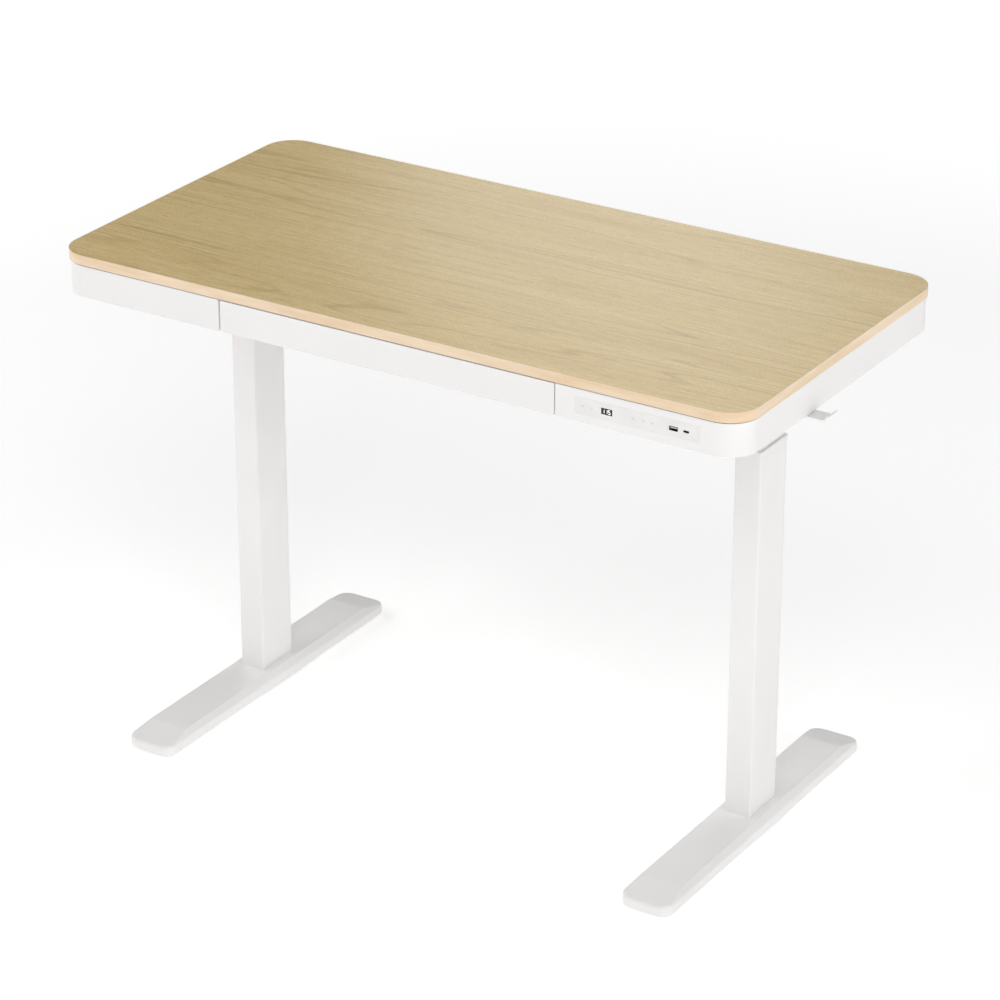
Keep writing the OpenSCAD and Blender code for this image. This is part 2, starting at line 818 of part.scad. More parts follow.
// A strip bent out from the apron and up into a lip, with a tab that is screwed to the apron
module headphone_hook() {
  tab_x = apron_w / 2 - apron_wall - hook_t;
  plate_z = apron_z - hook_drop;
  centre = [apron_w / 2 + hook_reach, plate_z + hook_bend_r];
  lip_end = hook_lip * [sin(hook_lean), cos(hook_lean)];
  outer = arc(centre, hook_bend_r + hook_t, -90, -hook_lean);
  inner = arc(centre, hook_bend_r, -hook_lean, -90);
  color("lightgray") difference() {
    along_y(hook_w, hook_y - hook_w / 2) polygon(concat(
      [[tab_x, plate_z - hook_t]], outer, [outer[hook_steps] + lip_end, inner[0] + lip_end], inner,
      [[tab_x + hook_t, plate_z], [tab_x + hook_t, plate_z + hook_tab_h], [tab_x, plate_z + hook_tab_h]]
    ));
    for (z = hook_screw_z) {
      translate([tab_x - 1, hook_y, z]) rotate([0, 90, 0]) cylinder(r = fix_r + bolt_gap, h = hook_t + 2);
    }
  }
}

module hook_screws() {
  x = apron_w / 2 - apron_wall - hook_t;
  color("silver") for (z = hook_screw_z) {
    translate([x, hook_y, z]) rotate([0, 90, 0]) cylinder(r = fix_r, h = hook_t + apron_wall - 1.2);
    translate([x - fix_head_h, hook_y, z]) rotate([0, 90, 0]) cylinder(r = fix_head_r, h = fix_head_h);
  }
}

// ---- Drawer ----

// A channel of the telescopic slides, open towards x0 or, for the inner one, away from it
module channel(x0, x1, h, web_at) {
  translate([x0, slide_z - h / 2]) difference() {
    square([x1 - x0, h]);
    translate([web_at == "far" ? -1 : slide_wall, slide_wall])
      square([x1 - x0 - slide_wall + 1, h - 2 * slide_wall]);
  }
}

module both_sides() {
  children();
  mirror([1, 0, 0]) children();
}

module slide_brackets() {
  color("silver") difference() {
    both_sides() along_y(slide_l, slide_y) {
      translate([hanger_x, slide_z - slide_h / 2]) square([hanger_t, board_z - slide_z + slide_h / 2]);
      translate([hanger_x, board_z - hanger_t]) square([hanger_foot, hanger_t]);
    }
    for (p = hanger_fix) {
      translate([p[0], p[1], board_z - hanger_t - 1]) cylinder(r = fix_r + bolt_gap, h = hanger_t + 2);
    }
  }
}

module slide_outers() {
  color("lightsteelblue") both_sides() along_y(slide_l, slide_y)
    channel(tray_side + 3, hanger_x, slide_h, "far");
}

module slide_middles() {
  h = slide_h - 2 * (slide_wall + slide_play);
  color("silver") both_sides() along_y(slide_l, slide_y)
    channel(tray_side + 2, hanger_x - slide_wall - slide_play, h, "far");
}

module slide_inners() {
  h = slide_h - 4 * (slide_wall + slide_play);
  color("lightsteelblue") both_sides() along_y(slide_l, slide_y)
    channel(tray_side, hanger_x - 2 * (slide_wall + slide_play), h, "near");
}

module drawer_front() {
  color("whitesmoke") block(drawer_w, front_t, apron_h - shadow_gap - 0.5, 0, front_y + front_t / 2,
    apron_z);
}

module drawer_tray() {
  color("gainsboro") difference() {
    block(tray_w, tray_d, tray_h, 0, tray_y + tray_d / 2, tray_z);
    block(tray_w - 2 * tray_wall, tray_d - 2 * tray_wall, tray_h, 0, tray_y + tray_d / 2,
      tray_z + tray_wall);
  }
}

module drawer_mat() {
  color("dimgray") block(tray_w - 2 * tray_wall - 1, tray_d - 2 * tray_wall - 1, mat_t, 0,
    tray_y + tray_d / 2, tray_z + tray_wall);
}

// ---- Nodes ----

desktop_board();
edge_band();
apron_left();
apron_right();
apron_back();
side_bracket(LEFT);  // side_bracket_left
side_bracket(RIGHT);  // side_bracket_right
cross_rails();
board_screws();
gearbox(LEFT);  // gearbox_left
gearbox(RIGHT);  // gearbox_right
spindle_bearings();
inner_tube(LEFT);  // inner_tube_left
inner_tube(RIGHT);  // inner_tube_right
tube_shoe(LEFT);  // tube_shoe_left
tube_shoe(RIGHT);  // tube_shoe_right
gear_motor();
control_box();
power_inlet();
motor_cable();
panel_cable();
control_panel();
display_window();
panel_board();
usb_a_shell();
usb_c_shell();
usb_tongues();
headphone_hook();
hook_screws();
slide_brackets();
slide_outers();
slide_middles();
slide_inners();
drawer_front();
drawer_tray();
drawer_mat();
foot(LEFT);  // foot_left
base_plate(LEFT);  // base_plate_left
foot_bolts(LEFT);  // foot_bolts_left
outer_tube(LEFT);  // outer_tube_left
guide_collar(LEFT);  // guide_collar_left
spindle_post(LEFT);  // spindle_post_left
spindle_nut(LEFT);  // spindle_nut_left
foot(RIGHT);  // foot_right
base_plate(RIGHT);  // base_plate_right
foot_bolts(RIGHT);  // foot_bolts_right
outer_tube(RIGHT);  // outer_tube_right
guide_collar(RIGHT);  // guide_collar_right
spindle_post(RIGHT);  // spindle_post_right
spindle_nut(RIGHT);  // spindle_nut_right
leadscrew(LEFT);  // leadscrew_left
leadscrew(RIGHT);  // leadscrew_right
spindle_gear(LEFT);  // spindle_gear_left
spindle_gear(RIGHT);  // spindle_gear_right
drive_shaft();
shaft_gears();
glide(LEFT, -1);  // glide_front_left
glide(LEFT, 1);  // glide_back_left
glide(RIGHT, -1);  // glide_front_right
glide(RIGHT, 1);  // glide_back_right
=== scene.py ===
import json
import math

import bmesh
import bpy
from mathutils import Matrix, Vector


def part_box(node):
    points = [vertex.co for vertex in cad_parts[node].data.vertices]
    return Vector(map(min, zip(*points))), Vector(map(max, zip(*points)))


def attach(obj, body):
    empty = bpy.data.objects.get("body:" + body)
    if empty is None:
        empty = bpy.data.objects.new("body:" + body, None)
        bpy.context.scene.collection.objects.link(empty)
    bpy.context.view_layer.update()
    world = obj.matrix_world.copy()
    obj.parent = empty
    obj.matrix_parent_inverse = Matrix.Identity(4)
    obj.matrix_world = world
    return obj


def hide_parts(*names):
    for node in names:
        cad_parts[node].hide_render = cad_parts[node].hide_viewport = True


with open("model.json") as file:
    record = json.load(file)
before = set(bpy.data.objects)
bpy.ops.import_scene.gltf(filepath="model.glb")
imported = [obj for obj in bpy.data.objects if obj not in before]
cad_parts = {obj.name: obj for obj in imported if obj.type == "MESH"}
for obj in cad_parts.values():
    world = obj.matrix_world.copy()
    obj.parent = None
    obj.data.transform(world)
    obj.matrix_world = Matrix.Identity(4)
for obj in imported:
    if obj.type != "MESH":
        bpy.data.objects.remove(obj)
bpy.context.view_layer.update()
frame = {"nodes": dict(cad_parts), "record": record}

scene = bpy.context.scene
NODES = frame["nodes"]
MM = 0.001

# ---- Camera: front right of the desk, a little above the top ----

CAMERA_AZIMUTH = math.radians(32.25)
CAMERA_ELEVATION = math.radians(25.08)
CAMERA_AIM = Vector((-0.1566, 0.2678, 0.2963))
CAMERA_DISTANCE = 6.2
CAMERA_LENS = 135.3


def make_camera():
    data = bpy.data.cameras.new("camera")
    data.sensor_width = 36
    data.lens = CAMERA_LENS
    data.clip_end = 100
    camera = bpy.data.objects.new("camera", data)
    scene.collection.objects.link(camera)
    look = Vector((
        -math.sin(CAMERA_AZIMUTH) * math.cos(CAMERA_ELEVATION),
        math.cos(CAMERA_AZIMUTH) * math.cos(CAMERA_ELEVATION),
        -math.sin(CAMERA_ELEVATION),
    ))
    camera.location = CAMERA_AIM - CAMERA_DISTANCE * look
    camera.rotation_euler = look.to_track_quat("-Z", "Y").to_euler()
    scene.camera = camera


make_camera()

# ---- Shader helpers ----


def linear(rgb):
    """An sRGB colour from 0 to 255, as the linear colour that shaders take."""
    def one(c):
        c = c / 255
        return c / 12.92 if c <= 0.04045 else ((c + 0.055) / 1.055) ** 2.4
    return (one(rgb[0]), one(rgb[1]), one(rgb[2]), 1.0)


class Shader:
    """A material with a Principled shader, and short calls for the nodes that feed it."""

    def __init__(self, name, rough=0.5, metal=0.0, **constants):
        self.material = bpy.data.materials.new(name)
        self.material.use_nodes = True
        self.tree = self.material.node_tree
        self.main = self.tree.nodes["Principled BSDF"]
        self.main.inputs["Roughness"].default_value = rough
        self.main.inputs["Metallic"].default_value = metal
        for socket, value in constants.items():
            self.main.inputs[socket.replace("_", " ")].default_value = value
        self.coords = self.tree.nodes.new("ShaderNodeTexCoord").outputs["Object"]

    def node(self, kind, **settings):
        made = self.tree.nodes.new(kind)
        for key, value in settings.items():
            setattr(made, key, value)
        return made

    def link(self, source, target):
        if isinstance(source, (int, float, tuple)):
            target.default_value = source
        else:
            self.tree.links.new(source, target)

    def stretched(self, scale):
        """Object coordinates times scale, in cycles per metre along each axis."""
        mapping = self.node("ShaderNodeMapping")
        mapping.inputs["Scale"].default_value = scale
        self.link(self.coords, mapping.inputs["Vector"])
        return mapping.outputs["Vector"]

    def noise(self, scale, detail=3.0, rough=0.55, distortion=0.0, vector=None):
        """Noise from 0 to 1. scale is one number or one per axis, in cycles per metre."""
        made = self.node("ShaderNodeTexNoise")
        if isinstance(scale, tuple):
            self.link(self.stretched(scale), made.inputs["Vector"])
            made.inputs["Scale"].default_value = 1.0
        else:
            self.link(vector or self.coords, made.inputs["Vector"])
            made.inputs["Scale"].default_value = scale
        made.inputs["Detail"].default_value = detail
        made.inputs["Roughness"].default_value = rough
        made.inputs["Distortion"].default_value = distortion
        return made.outputs["Fac"]

    def voronoi(self, scale, **settings):
        made = self.node("ShaderNodeTexVoronoi", **settings)
        self.link(self.coords, made.inputs["Vector"])
        made.inputs["Scale"].default_value = scale
        return made.outputs["Distance"]

    def math(self, operation, a, b=0.0, clamp=False):
        made = self.node("ShaderNodeMath", operation=operation, use_clamp=clamp)
        self.link(a, made.inputs[0])
        self.link(b, made.inputs[1])
        return made.outputs[0]

    def range(self, value, low, high, to_low=0.0, to_high=1.0):
        made = self.node("ShaderNodeMapRange", clamp=True)
        self.link(value, made.inputs["Value"])
        for socket, number in zip(("From Min", "From Max", "To Min", "To Max"), (low, high, to_low, to_high)):
            made.inputs[socket].default_value = number
        return made.outputs["Result"]

    def mix(self, factor, a, b, blend="MIX"):
        made = self.node("ShaderNodeMix", data_type="RGBA", blend_type=blend)
        self.link(factor, made.inputs[0])
        self.link(a, made.inputs[6])
        self.link(b, made.inputs[7])
        return made.outputs[2]

    def axis(self, name):
        made = self.node("ShaderNodeSeparateXYZ")
        self.link(self.coords, made.inputs[0])
        return made.outputs[name]

    def colour(self, value):
        self.link(value, self.main.inputs["Base Color"])

    def rough(self, value):
        self.link(value, self.main.inputs["Roughness"])

    def bump(self, height, distance, strength):
        made = self.node("ShaderNodeBump")
        made.inputs["Strength"].default_value = strength
        made.inputs["Distance"].default_value = distance
        self.link(height, made.inputs["Height"])
        self.link(made.outputs["Normal"], self.main.inputs["Normal"])


# ---- Materials, one function for each kind of surface ----

BOARD_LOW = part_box("desktop_board")[0]


def oak_laminate():
    s = Shader("oak_laminate", rough=0.4)
    fibre = s.noise((16, 380, 380), detail=4, rough=0.7)
    streak = s.noise((4, 150, 150), detail=4, rough=0.6, distortion=0.3)
    band = s.noise((1.1, 26, 26), detail=4, rough=0.55)
    speck = s.noise((300, 700, 700), detail=3, rough=0.7)
    pores = s.noise((34, 760, 760), detail=3, rough=0.6)
    base = s.mix(s.range(band, 0.34, 0.66), linear((228, 200, 136)), linear((243, 218, 159)))
    base = s.mix(s.range(fibre, 0.34, 0.66, 0.0, 0.85), base, linear((248, 225, 171)))
    base = s.mix(s.range(streak, 0.48, 0.68, 0.0, 0.34), base, linear((200, 171, 112)))
    base = s.mix(growth_rings(s), base, linear((186, 158, 104)))
    base = s.mix(s.range(pores, 0.55, 0.68, 0.0, 0.5), base, linear((164, 136, 86)))
    base = s.mix(s.range(speck, 0.42, 0.66, 0.0, 0.5), base, linear((184, 156, 103)))
    backing = s.noise(260, detail=4)
    under = s.mix(backing, linear((226, 222, 214)), linear((238, 235, 229)))
    top_share = s.range(s.axis("Z"), BOARD_LOW.z + 0.3 * MM, BOARD_LOW.z + 0.5 * MM)
    s.colour(s.mix(top_share, under, base))
    s.rough(s.range(fibre, 0.3, 0.7, 0.36, 0.48))
    relief = s.math("SUBTRACT", s.math("MULTIPLY", fibre, 0.6), s.range(pores, 0.55, 0.7))
    s.bump(relief, 0.05 * MM, 0.5)
    return s.material


def growth_rings(s):
    """Share of thin, long ring lines that come and go along the board."""
    figure = s.noise((0.38, 6.5, 6.5), detail=2, rough=0.4)
    rings = s.math("SINE", s.math("MULTIPLY", figure, 210.0))
    presence = s.noise((1.6, 14, 14), detail=2)
    return s.math("MULTIPLY", s.range(rings, 0.72, 1.0), s.range(presence, 0.42, 0.62, 0.03, 0.42))


def edge_band():
    s = Shader("edge_band", rough=0.48)
    lines = s.noise((14, 14, 1300), detail=4, rough=0.6)
    patches = s.noise((9, 9, 60), detail=2)
    base = s.mix(s.range(patches, 0.35, 0.65), linear((227, 200, 165)), linear((237, 216, 189)))
    base = s.mix(s.range(lines, 0.5, 0.75, 0.0, 0.5), base, linear((216, 181, 140)))
    s.colour(base)
    s.rough(s.range(lines, 0.3, 0.7, 0.42, 0.55))
    s.bump(lines, 0.04 * MM, 0.5)
    return s.material


def powder_coat(name, rgb, rough=0.46, grain=1400, depth=0.035):
    """Painted metal: an even colour that clouds slightly, over a fine orange-peel texture."""
    s = Shader(name, rough=rough)
    cloud = s.noise(5, detail=4)
    darker = tuple(c * 0.985 for c in rgb)
    s.colour(s.mix(s.range(cloud, 0.3, 0.7), linear(rgb), linear(darker)))
    peel = s.noise(grain, detail=2)
    wear = s.noise(38, detail=5, rough=0.65)
    s.rough(s.range(wear, 0.3, 0.7, rough - 0.04, rough + 0.06))
    s.bump(peel, depth * MM, 0.7)
    return s.material


def plated_steel(name, rgb, rough=0.3, direction=(40, 40, 900)):
    """Drawn or plated steel, with fine lines along one direction."""
    s = Shader(name, rough=rough, metal=1.0)
    lines = s.noise(direction, detail=3)
    blot = s.noise(45, detail=4)
    light = s.mix(s.range(blot, 0.3, 0.7), linear(rgb), linear(tuple(c * 0.88 for c in rgb)))
    s.colour(light)
    s.rough(s.range(lines, 0.3, 0.7, rough - 0.06, rough + 0.12))
    s.bump(lines, 0.02 * MM, 0.5)
    return s.material


def moulded(name, rgb, rough=0.5, grain=2200, depth=0.03, **constants):
    """Moulded plastic: an even colour over a spark-eroded texture."""
    s = Shader(name, rough=rough, **constants)
    cloud = s.noise(30, detail=3)
    s.colour(s.mix(cloud, linear(rgb), linear(tuple(c * 0.93 for c in rgb))))
    cells = s.noise(grain, detail=2)
    s.rough(s.range(cloud, 0.3, 0.7, rough - 0.04, rough + 0.05))
    s.bump(cells, depth * MM, 0.6)
    return s.material


def cast_alloy():
    s = Shader("gearbox_alloy", rough=0.5, metal=1.0)
    skin = s.noise(520, detail=5, rough=0.7)
    blot = s.noise(60, detail=3)
    s.colour(s.mix(blot, linear((168, 170, 173)), linear((146, 148, 151))))
    s.rough(s.range(skin, 0.3, 0.7, 0.42, 0.62))
    s.bump(skin, 0.12 * MM, 0.7)
    return s.material


def brass():
    s = Shader("brass_gear", rough=0.28, metal=1.0)
    blot = s.noise(140, detail=4)
    s.colour(s.mix(blot, linear((216, 182, 104)), linear((188, 150, 78))))
    s.rough(s.range(blot, 0.3, 0.7, 0.2, 0.4))
    s.bump(s.noise(1600, detail=2), 0.02 * MM, 0.4)
    return s.material


def circuit_board():
    s = Shader("circuit_board", rough=0.35)
    tracks = s.voronoi(260, feature="DISTANCE_TO_EDGE")
    s.colour(s.mix(s.range(tracks, 0.04, 0.08), linear((46, 140, 74)), linear((16, 92, 46))))
    s.bump(s.range(tracks, 0.04, 0.08), 0.04 * MM, 0.5)
    return s.material


def felt():
    s = Shader("felt", rough=0.95, Sheen_Weight=0.5, Sheen_Roughness=0.5)
    fluff = s.noise(900, detail=6, rough=0.75)
    strands = s.voronoi(650, feature="F1")
    s.colour(s.mix(s.range(fluff, 0.3, 0.7), linear((84, 85, 88)), linear((122, 123, 126))))
    s.bump(s.math("ADD", fluff, strands), 0.5 * MM, 0.8)
    return s.material


def port_tongues():
    """Light tongue in the wide port, dark tongue in the narrow one."""
    low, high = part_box("usb_a_shell")
    s = Shader("port_tongues", rough=0.5)
    narrow = s.range(s.axis("X"), high.x + 1 * MM, high.x + 2 * MM)
    speck = s.noise(900, detail=2)
    wide_colour = s.mix(speck, linear((196, 197, 200)), linear((176, 177, 180)))
    s.colour(s.mix(narrow, wide_colour, linear((14, 14, 15))))
    s.bump(speck, 0.02 * MM, 0.5)
    return s.material


WHITE = (242, 240, 239)
MATERIALS = {
    "oak_laminate": oak_laminate(),
    "edge_band": edge_band(),
    "white_apron": powder_coat("white_apron", (238, 236, 235), rough=0.5, grain=1900, depth=0.02),
    "white_steel": powder_coat("white_steel", WHITE, rough=0.48),
    "frame_steel": powder_coat("frame_steel", (212, 212, 212), rough=0.5, grain=1100, depth=0.05),
    "gearbox_alloy": cast_alloy(),
    "zinc_steel": plated_steel("zinc_steel", (196, 199, 203)),
    "brass_gear": brass(),
    "acetal": moulded("acetal", (238, 236, 226), rough=0.4),
    "grey_plastic": moulded("grey_plastic", (240, 240, 239), rough=0.45),
    "black_plastic": moulded("black_plastic", (30, 30, 32), rough=0.5, depth=0.05),
    "motor_paint": powder_coat("motor_paint", (58, 59, 62), rough=0.42, grain=800, depth=0.06),
    "gloss_white": moulded("gloss_white", (239, 237, 235), rough=0.36, depth=0.004, Coat_Weight=0.15),
    "display": moulded("display", (8, 8, 9), rough=0.12, depth=0.003),
    "circuit_board": circuit_board(),
    "hook_paint": powder_coat("hook_paint", (238, 238, 237), rough=0.42),
    "port_shell": plated_steel("port_shell", (44, 45, 47), rough=0.36, direction=(40, 900, 900)),
    "tray_plastic": moulded("tray_plastic", (232, 232, 231), rough=0.5, grain=1200, depth=0.05),
    "felt": felt(),
    "glide_rubber": moulded("glide_rubber", (38, 38, 39), rough=0.75, grain=1300, depth=0.06),
    "port_tongues": port_tongues(),
}

# Touch marks and lit digits have no CAD node
MARK_GREY = moulded("mark_grey", (206, 207, 208), rough=0.3)
DIGIT_WHITE = moulded("digit_white", (250, 250, 250), rough=0.4, Emission_Color=(1, 1, 1, 1),
                      Emission_Strength=1.0)

# ---- CAD nodes: finish and softened edges ----

# Radius of the rounded edges of each kind of node, in millimetres
EDGE_RADIUS = {
    "edge_band": 0.8, "apron_left": 0.9, "apron_right": 0.9, "apron_back": 0.9, "drawer_front": 1.0,
    "side_bracket": 0.5, "gearbox": 1.6, "outer_tube": 0.5, "inner_tube": 0.4, "guide_collar": 0.6,
    "tube_shoe": 0.4, "gear_motor": 1.2, "control_box": 1.4, "power_inlet": 0.3,
    "control_panel": 0.35, "headphone_hook": 0.5, "drawer_tray": 1.0, "drawer_mat": 0.5,
    "slide": 0.25, "spindle": 0.3, "base_plate": 0.5, "glide": 0.5, "usb": 0.12, "cross_rails": 0.8,
    "hook_screws": 0.3, "foot_bolts": 0.4, "shaft_gears": 0.15, "leadscrew": 0.3, "drive_shaft": 0.3,
}
BEVEL_ANGLE = math.radians(24)
BEVEL_SEGMENTS = 3
WELD_REACH = 0.01 * MM
FLAT_ANGLE = math.radians(0.4)


def edge_radius(name):
    for key in sorted(EDGE_RADIUS, key=len, reverse=True):
        if name.startswith(key):
            return EDGE_RADIUS[key] * MM
    return 0.0


def shade_smooth(piece):
    piece.data.polygons.foreach_set("use_smooth", [True] * len(piece.data.polygons))


def weighted_normals(piece):
    piece.modifiers.new("normals", "WEIGHTED_NORMAL").keep_sharp = True


def round_edges(piece, radius):
    """Joins the split corners of a mesh and rounds its sharp edges with modifiers."""
    weld = piece.modifiers.new("weld", "WELD")
    weld.merge_threshold = WELD_REACH
    flat = piece.modifiers.new("flat", "DECIMATE")
    flat.decimate_type = "DISSOLVE"
    flat.angle_limit = FLAT_ANGLE
    if radius > 0:
        bevel = piece.modifiers.new("bevel", "BEVEL")
        bevel.width = radius
        bevel.segments = BEVEL_SEGMENTS
        bevel.limit_method = "ANGLE"
        bevel.angle_limit = BEVEL_ANGLE
        bevel.use_clamp_overlap = True
        bevel.harden_normals = False
    weighted_normals(piece)


def dress(name, finish):
    piece = NODES[name]
    piece.data.materials.clear()
    piece.data.materials.append(MATERIALS[finish])
    shade_smooth(piece)
    round_edges(piece, edge_radius(name))


for sub_part in frame["record"]["subparts"]:
    slot_name = sub_part["material_slot"]
    if sub_part["node"] == "usb_tongues":
        slot_name = "port_tongues"
    dress(sub_part["node"], slot_name)

# ---- Mesh helpers ----


def new_piece(name, build, finish, body):
    """A mesh piece made by build(bm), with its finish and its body."""
    bm = bmesh.new()
    build(bm)
    bmesh.ops.recalc_face_normals(bm, faces=bm.faces)
    mesh = bpy.data.meshes.new(name)
    bm.to_mesh(mesh)
    bm.free()
    piece = bpy.data.objects.new(name, mesh)
    scene.collection.objects.link(piece)
    mesh.materials.append(finish)
    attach(piece, body)
    return piece


def stitch(bm, a, b):
    """A band of faces between two closed rows of vertices."""
    for k in range(len(a)):
        j = (k + 1) % len(a)
        bm.faces.new((a[k], a[j], b[j], b[k]))


def plate(bm, outline, y_back, y_front):
    """An outline in the X-Z plane made solid from y_back to y_front."""
    back = [bm.verts.new((x, y_back, z)) for x, z in outline]
    front = [bm.verts.new((x, y_front, z)) for x, z in outline]
    bm.faces.new(back)
    bm.faces.new(reversed(front))
    count = len(outline)
    for i in range(count):
        j = (i + 1) % count
        bm.faces.new((back[i], front[i], front[j], back[j]))


# ---- Feet: pressed shells with soft creases, in place of the plain CAD feet ----

FOOT_TOP_W = 69.2 * MM
FOOT_RIM = 14.5 * MM
FOOT_SLOPE = 57 * MM
FOOT_CORNER = 20 * MM
FOOT_WALL = 3 * MM
BOSS_RADIUS = 9 * MM
STUD_HOLE = 4.05 * MM


def corner_ring(half_w, half_l, radius, steps=8):
    """A rectangle with round corners in plan, anticlockwise from its right side."""
    points = []
    for sx, sy, start in ((1, 1, 0), (-1, 1, 90), (-1, -1, 180), (1, -1, 270)):
        for k in range(steps + 1):
            t = math.radians(start + 90 * k / steps)
            points.append((sx * (half_w - radius) + radius * math.cos(t),
                           sy * (half_l - radius) + radius * math.sin(t)))
    return points


def blend(a, b, c, steps):
    """Points on a curve that leaves a, bends at b and arrives at c."""
    out = []
    for k in range(steps + 1):
        t = k / steps
        out.append(tuple((1 - t) ** 2 * p + 2 * t * (1 - t) * q + t * t * r for p, q, r in zip(a, b, c)))
    return out


def foot_profile(width, height, drop):
    """Rows of height, inset at the sides, inset at the ends and corner radius. drop lowers the inner skin."""
    rise = height - FOOT_RIM
    side = (width - FOOT_TOP_W) / 2
    low, high = 0.9 * MM / rise, 1 - 0.7 * MM / rise

    def at(share):
        return (FOOT_RIM + share * rise, share * side, share * FOOT_SLOPE)
    rows = [(0.0, 0.5 * MM, 0.5 * MM), (0.15 * MM, 0.15 * MM, 0.15 * MM), (0.5 * MM, 0.0, 0.0)]
    rows += blend((FOOT_RIM - 4.5 * MM, 0.0, 0.0), (FOOT_RIM, 0.0, 0.0), at(low), 7)
    rows += [at(0.2), at(0.4), at(0.65)]
    rows += blend(at(high), at(1), (height, side + 0.9 * MM, FOOT_SLOPE + 3 * MM), 6)
    out = []
    for z, inset_side, inset_end in rows:
        share = max(0.0, (z - FOOT_RIM) / (0.36 * rise))
        radius = max(5 * MM, FOOT_CORNER * (1 - share)) if share > 0 else FOOT_CORNER
        out.append((z - (drop if z > FOOT_RIM - 5 * MM else 0.0), inset_side, inset_end, radius))
    return out


def foot_shell(low, high):
    """Builder of one pressed foot, open underneath, with two bosses for the glide studs."""
    middle = (low + high) / 2

    def skin(bm, inset, drop):
        rings = []
        for z, inset_side, inset_end, radius in foot_profile(high.x - low.x, high.z - low.z, drop):
            if drop and z < MM:
                inset_side, inset_end = -inset_side, -inset_end
            half_w = (high.x - low.x) / 2 - inset - inset_side
            half_l = (high.y - low.y) / 2 - inset - inset_end
            plan = corner_ring(half_w, half_l, max(radius - inset, 2 * MM))
            rings.append([bm.verts.new((middle.x + x, middle.y + y, low.z + z)) for x, y in plan])
        return rings

    def build(bm):
        outer = skin(bm, 0.0, 0.0)
        inner = skin(bm, FOOT_WALL, FOOT_WALL)
        for rings in (outer, inner):
            for a, b in zip(rings, rings[1:]):
                stitch(bm, a, b)
            bm.faces.new(rings[-1])
        stitch(bm, outer[0], inner[0])
        for name in GLIDES:
            pad_low, pad_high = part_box(name)
            centre = (pad_low + pad_high) / 2
            if low.x < centre.x < high.x:
                boss(bm, centre.x, centre.y, low.z, high.z - FOOT_WALL)
    return build


def boss(bm, x, y, z_low, z_high, steps=40):
    """A tube round a glide stud."""
    rows = []
    for radius, z in ((STUD_HOLE, z_low), (BOSS_RADIUS, z_low), (BOSS_RADIUS, z_high), (STUD_HOLE, z_high)):
        rows.append([bm.verts.new((x + radius * math.cos(2 * math.pi * k / steps),
                                   y + radius * math.sin(2 * math.pi * k / steps), z)) for k in range(steps)])
    for a, b in zip(rows, rows[1:] + rows[:1]):
        stitch(bm, a, b)


GLIDES = [name for name in NODES if name.startswith("glide_")]
for foot_name in ("foot_left", "foot_right"):
    foot_low, foot_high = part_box(foot_name)
    shell = new_piece(foot_name + "_shell", foot_shell(foot_low, foot_high), MATERIALS["white_steel"],
                      foot_name.split("_")[1] + "_base")
    shade_smooth(shell)
    weighted_normals(shell)
    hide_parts(foot_name)

# ---- Grey strip in the gap under the worktop: a painted shadow line ----

APRON_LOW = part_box("apron_left")[0]
APRON_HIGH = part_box("apron_right")[1]
APRON_CORNER = 47.5 * MM
SHADOW_STRIP_DROP = 2.3 * MM


# A thin grey ring under the board's edge that stands for the shadow line in the gap: painted shadow
def shadow_line_strip(bm):
    middle = (APRON_LOW + APRON_HIGH) / 2
    rows = []
    for inset, z in ((0.5, 0.0), (1.5, 0.0), (1.5, SHADOW_STRIP_DROP), (0.5, SHADOW_STRIP_DROP)):
        half = (APRON_HIGH - APRON_LOW) / 2 - Vector((inset, inset, 0)) * MM
        plan = corner_ring(half.x, half.y, APRON_CORNER - inset * MM, steps=24)
        rows.append([bm.verts.new((middle.x + x, middle.y + y, BOARD_LOW.z - z)) for x, y in plan])
    for a, b in zip(rows, rows[1:] + rows[:1]):
        stitch(bm, a, b)


# The strip's purple-grey colour is painted shadow, the dark line under the edge band
new_piece("shadow_line_strip", shadow_line_strip, moulded("shadow_line_strip", (158, 149, 153), rough=0.8), "desk")

# ---- Pan-head screws with cross recesses, in place of the plain CAD screws ----


def islands(name, axis, reach=6 * MM):
    """Centres of the separate pieces of a node across one axis, with the ends of each along that axis."""
    others = [i for i in range(3) if i != axis]
    groups = []
    for vertex in NODES[name].data.vertices:
        p = NODES[name].matrix_world @ vertex.co
        for group in groups:
            if all(abs(p[i] - group[0][i]) < 2 * reach for i in others):
                group.append(p)
                break
        else:
            groups.append([p])
    out = []
    for group in groups:
        centre = Vector([(min(p[i] for p in group) + max(p[i] for p in group)) / 2 for i in range(3)])
        out.append((centre, min(p[axis] for p in group), max(p[axis] for p in group)))
    return out


def lathe(bm, place, profile, steps=20):
    """A closed round piece from rows of radius and height, put in place by a matrix."""
    rows = []
    for radius, z in profile:
        rows.append([bm.verts.new(place @ Vector((radius * math.cos(2 * math.pi * k / steps),
                                                  radius * math.sin(2 * math.pi * k / steps), z)))
                     for k in range(steps)])
    for a, b in zip(rows, rows[1:]):
        stitch(bm, a, b)
    bm.faces.new(reversed(rows[0]))
    bm.faces.new(rows[-1])


def prism(bm, place, outline, z_low, z_high):
    """An outline in the X-Y plane made solid between two heights, put in place by a matrix."""
    low = [bm.verts.new(place @ Vector((x, y, z_low))) for x, y in outline]
    high = [bm.verts.new(place @ Vector((x, y, z_high))) for x, y in outline]
    bm.faces.new(reversed(low))
    bm.faces.new(high)
    for k in range(len(outline)):
        j = (k + 1) % len(outline)
        bm.faces.new((low[k], low[j], high[j], high[k]))


def cross_outline(arm, half):
    return [(arm, -half), (arm, half), (half, half), (half, arm), (-half, arm), (-half, half),
            (-arm, half), (-arm, -half), (-half, -half), (-half, -arm), (half, -arm), (half, -half)]


